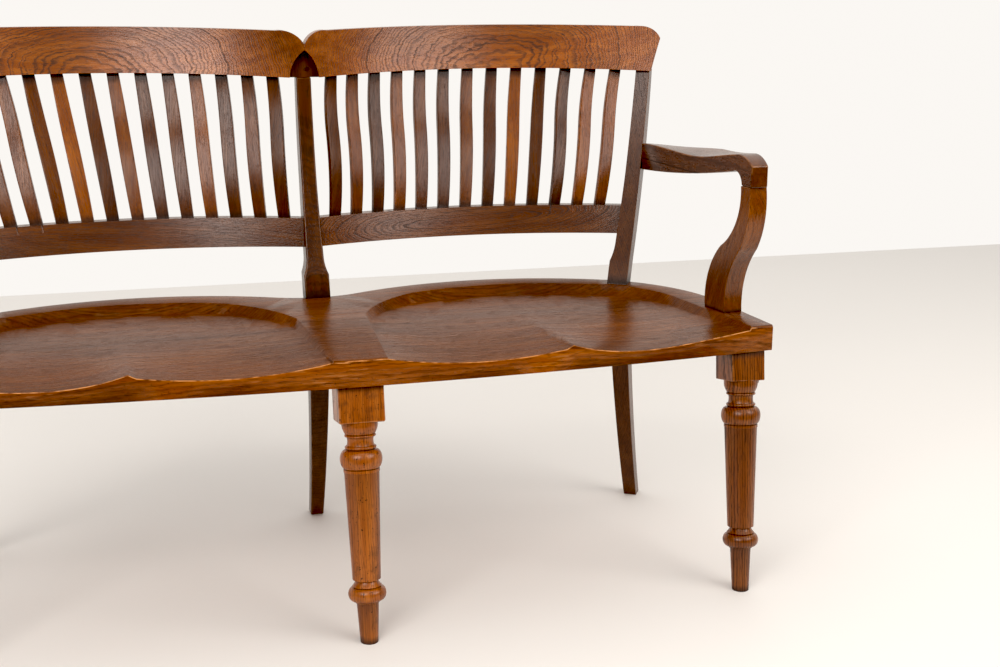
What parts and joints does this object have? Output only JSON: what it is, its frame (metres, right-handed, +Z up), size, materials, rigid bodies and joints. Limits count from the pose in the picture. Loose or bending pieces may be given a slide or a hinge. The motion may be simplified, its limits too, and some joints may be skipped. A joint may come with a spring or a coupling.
{
  "type": "chair-back settee",
  "caption": "Two-seat wooden bench with slatted curved backs, saddle-hollowed plank seat, shaped arms, turned front legs and raked back legs",
  "frame": {"origin": "On the floor, under the middle of the bounding box: Z is 0 at the feet, X and Y are 0 at the box's middle.", "axes": "+X runs along the seat to the sitter's left, +Y points to the back, +Z is up. The front faces -Y."},
  "size_m": [1.3804, 0.7203, 0.9022],
  "materials": {
    "arm_oak": "waxed, darkened by hands",
    "leg_oak": "waxed, red-brown",
    "post_oak": "waxed, dark brown",
    "rail_oak": "waxed, orange-brown",
    "seat_oak": "waxed and worn, grey-brown sheen",
    "slat_oak": "waxed, mid brown"
  },
  "bodies": {
    "root": {"centre_back_post": "post_oak", "centre_front_leg": "leg_oak", "crest_block": "rail_oak", "crest_plug": "rail_oak", "left_arm": "arm_oak", "left_arm_support": "arm_oak", "left_back_post": "post_oak", "left_crest_rail": "rail_oak", "left_front_leg": "leg_oak", "left_lower_rail": "rail_oak", "left_slat_01": "slat_oak", "left_slat_02": "slat_oak", "left_slat_03": "slat_oak", "left_slat_04": "slat_oak", "left_slat_05": "slat_oak", "left_slat_06": "slat_oak", "left_slat_07": "slat_oak", "left_slat_08": "slat_oak", "left_slat_09": "slat_oak", "left_slat_10": "slat_oak", "left_slat_11": "slat_oak", "left_slat_12": "slat_oak", "left_slat_13": "slat_oak", "right_arm": "arm_oak", "right_arm_support": "arm_oak", "right_back_post": "post_oak", "right_crest_rail": "rail_oak", "right_front_leg": "leg_oak", "right_lower_rail": "rail_oak", "right_slat_01": "slat_oak", "right_slat_02": "slat_oak", "right_slat_03": "slat_oak", "right_slat_04": "slat_oak", "right_slat_05": "slat_oak", "right_slat_06": "slat_oak", "right_slat_07": "slat_oak", "right_slat_08": "slat_oak", "right_slat_09": "slat_oak", "right_slat_10": "slat_oak", "right_slat_11": "slat_oak", "right_slat_12": "slat_oak", "right_slat_13": "slat_oak", "seat_plank": "seat_oak"}
  },
  "joints": []
}
